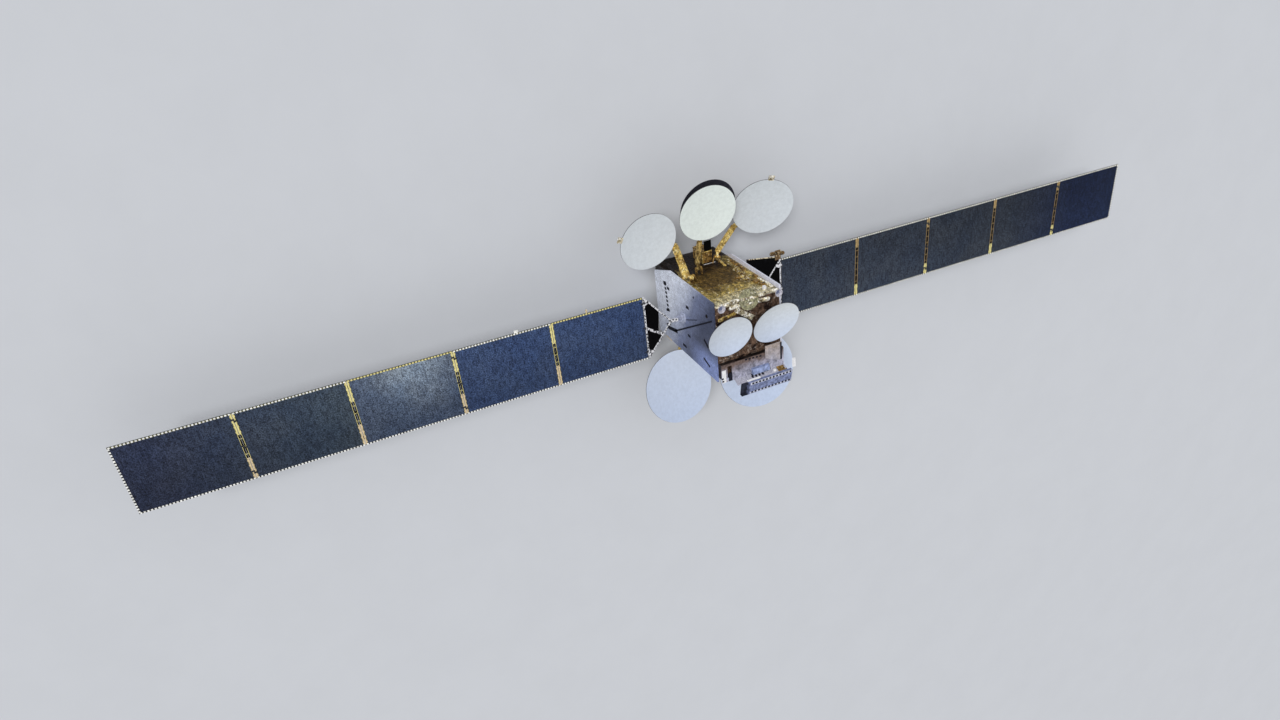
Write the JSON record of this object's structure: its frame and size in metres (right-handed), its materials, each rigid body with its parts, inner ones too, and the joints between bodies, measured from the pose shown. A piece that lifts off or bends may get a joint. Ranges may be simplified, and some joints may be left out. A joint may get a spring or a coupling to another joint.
{
  "type": "communications satellite",
  "caption": "Box-bodied communications satellite on its launch ring, with two folding solar wings, five hinged side reflectors and two deck dishes.",
  "frame": {"origin": "centre of the launch ring's lower face", "axes": "+Z from the launch ring to the antenna deck, +Y along the north solar wing, X across the foil faces"},
  "size_m": [7.9045, 32.064, 4.7385],
  "materials": {
    "bare_metal": "machined",
    "black_foil": "matt black film",
    "boom_foil": "crinkled film",
    "cells": "solar cells under cover glass",
    "deck_foil": "crinkled film",
    "dish_white": "white satin film",
    "foil": "crinkled metallised film",
    "nozzle": "heat tinted",
    "radiator": "mirror tiles, satin",
    "rear_dish": "bare carbon fibre",
    "yoke": "satin composite"
  },
  "bodies": {
    "bus": {"antenna_deck": "deck_foil", "base_deck": "foil", "base_thrusters": "nozzle", "bus_core": "foil", "east_north_bracket": "bare_metal", "east_south_bracket": "bare_metal", "feed_box": "radiator", "feed_platform": "radiator", "feed_platform_skirt": "deck_foil", "feed_trough": "radiator", "feed_trough_arms": "radiator", "launch_ring": "bare_metal", "main_engine_nozzle": "nozzle", "north_corner_horn": "bare_metal", "north_cover_plate": "radiator", "north_deck_dish": "dish_white", "north_deck_dish_mount": "bare_metal", "north_drive_housing": "bare_metal", "north_radiator": "radiator", "south_corner_horn": "bare_metal", "south_deck_dish": "dish_white", "south_deck_dish_mount": "bare_metal", "south_drive_housing": "bare_metal", "south_radiator": "radiator", "west_deck_dish": "dish_white", "west_deck_dish_mount": "bare_metal", "west_face_box": "deck_foil", "west_feed_tray": "foil", "west_middle_bracket": "bare_metal", "west_north_bracket": "bare_metal", "west_south_bracket": "bare_metal"},
    "north_drive": {"north_drive_rotor": "bare_metal"},
    "north_yoke": {"north_yoke_frame": "yoke", "north_yoke_foil": "black_foil", "north_side_film": "black_foil", "north_side_rod": "boom_foil"},
    "north_panel_1": {"north_panel_1": "cells"},
    "north_panel_2": {"north_panel_2": "cells"},
    "north_panel_3": {"north_panel_3": "cells"},
    "north_panel_4": {"north_panel_4": "cells"},
    "north_panel_5": {"north_panel_5": "cells"},
    "south_drive": {"south_drive_rotor": "bare_metal"},
    "south_yoke": {"south_yoke_frame": "yoke", "south_yoke_foil": "black_foil"},
    "south_panel_1": {"south_panel_1": "cells"},
    "south_panel_2": {"south_panel_2": "cells"},
    "south_panel_3": {"south_panel_3": "cells"},
    "south_panel_4": {"south_panel_4": "cells"},
    "south_panel_5": {"south_panel_5": "cells"},
    "west_south_antenna": {"west_south_boom": "boom_foil", "west_south_reflector": "dish_white"},
    "west_middle_antenna": {"west_middle_boom": "boom_foil", "west_middle_rear_reflector": "rear_dish", "west_middle_reflector": "dish_white"},
    "west_north_antenna": {"west_north_boom": "boom_foil", "west_north_reflector": "dish_white"},
    "east_south_antenna": {"east_south_boom": "boom_foil", "east_south_reflector": "dish_white"},
    "east_north_antenna": {"east_north_boom": "boom_foil", "east_north_reflector": "dish_white"}
  },
  "joints": [
    {"name": "north_array_drive", "type": "hinge", "parent": "bus", "child": "north_drive", "pos_m": [0, 1.054, 2.209], "axis": [0, 1, 0], "continuous": true},
    {"name": "north_wing_fold", "type": "hinge", "parent": "north_drive", "child": "north_yoke", "pos_m": [0, 1.264, 2.209], "axis": [-1, 0, 0], "range_deg": [0, 90]},
    {"name": "north_panel_1_fold", "type": "hinge", "parent": "north_yoke", "child": "north_panel_1", "pos_m": [0, 2.29, 2.243], "axis": [1, 0, 0], "range_deg": [0, 180]},
    {"name": "north_panel_2_fold", "type": "hinge", "parent": "north_panel_1", "child": "north_panel_2", "pos_m": [0, 5.04, 2.175], "axis": [-1, 0, 0], "range_deg": [0, 180]},
    {"name": "north_panel_3_fold", "type": "hinge", "parent": "north_panel_2", "child": "north_panel_3", "pos_m": [0, 7.79, 2.243], "axis": [1, 0, 0], "range_deg": [0, 180]},
    {"name": "north_panel_4_fold", "type": "hinge", "parent": "north_panel_3", "child": "north_panel_4", "pos_m": [0, 10.54, 2.175], "axis": [-1, 0, 0], "range_deg": [0, 180]},
    {"name": "north_panel_5_fold", "type": "hinge", "parent": "north_panel_4", "child": "north_panel_5", "pos_m": [0, 13.29, 2.243], "axis": [1, 0, 0], "range_deg": [0, 180]},
    {"name": "south_array_drive", "type": "hinge", "parent": "bus", "child": "south_drive", "pos_m": [0, -1.054, 2.209], "axis": [0, 1, 0], "continuous": true},
    {"name": "south_wing_fold", "type": "hinge", "parent": "south_drive", "child": "south_yoke", "pos_m": [0, -1.264, 2.209], "axis": [1, 0, 0], "range_deg": [0, 90]},
    {"name": "south_panel_1_fold", "type": "hinge", "parent": "south_yoke", "child": "south_panel_1", "pos_m": [0, -2.29, 2.243], "axis": [-1, 0, 0], "range_deg": [0, 180]},
    {"name": "south_panel_2_fold", "type": "hinge", "parent": "south_panel_1", "child": "south_panel_2", "pos_m": [0, -5.04, 2.175], "axis": [1, 0, 0], "range_deg": [0, 180]},
    {"name": "south_panel_3_fold", "type": "hinge", "parent": "south_panel_2", "child": "south_panel_3", "pos_m": [0, -7.79, 2.243], "axis": [-1, 0, 0], "range_deg": [0, 180]},
    {"name": "south_panel_4_fold", "type": "hinge", "parent": "south_panel_3", "child": "south_panel_4", "pos_m": [0, -10.54, 2.175], "axis": [1, 0, 0], "range_deg": [0, 180]},
    {"name": "south_panel_5_fold", "type": "hinge", "parent": "south_panel_4", "child": "south_panel_5", "pos_m": [0, -13.29, 2.243], "axis": [-1, 0, 0], "range_deg": [0, 180]},
    {"name": "west_south_deploy", "type": "hinge", "parent": "bus", "child": "west_south_antenna", "pos_m": [-1.29, -0.79, 2.453], "axis": [-0.5794, 0.6357, -0.5101], "range_deg": [0, 103.37]},
    {"name": "west_middle_deploy", "type": "hinge", "parent": "bus", "child": "west_middle_antenna", "pos_m": [-1.29, -0.34, 1.973], "axis": [-0.0336, 0.9994, 0.0064], "range_deg": [0, 77.06]},
    {"name": "west_north_deploy", "type": "hinge", "parent": "bus", "child": "west_north_antenna", "pos_m": [-1.29, 0.5, 1.535], "axis": [0.2552, 0.8731, 0.4154], "range_deg": [0, 76.85]},
    {"name": "east_south_deploy", "type": "hinge", "parent": "bus", "child": "east_south_antenna", "pos_m": [1.29, -0.7, 1.819], "axis": [-0.4777, -0.7494, 0.4585], "range_deg": [0, 90.07]},
    {"name": "east_north_deploy", "type": "hinge", "parent": "bus", "child": "east_north_antenna", "pos_m": [1.29, 0.56, 1.643], "axis": [0.5179, -0.7041, -0.4859], "range_deg": [0, 93.21]}
  ],
  "couplings": [
    {"joint": "north_panel_1_fold", "follows": "north_wing_fold", "ratio": 2},
    {"joint": "north_panel_2_fold", "follows": "north_wing_fold", "ratio": 2},
    {"joint": "north_panel_3_fold", "follows": "north_wing_fold", "ratio": 2},
    {"joint": "north_panel_4_fold", "follows": "north_wing_fold", "ratio": 2},
    {"joint": "north_panel_5_fold", "follows": "north_wing_fold", "ratio": 2},
    {"joint": "south_panel_1_fold", "follows": "south_wing_fold", "ratio": 2},
    {"joint": "south_panel_2_fold", "follows": "south_wing_fold", "ratio": 2},
    {"joint": "south_panel_3_fold", "follows": "south_wing_fold", "ratio": 2},
    {"joint": "south_panel_4_fold", "follows": "south_wing_fold", "ratio": 2},
    {"joint": "south_panel_5_fold", "follows": "south_wing_fold", "ratio": 2}
  ]
}
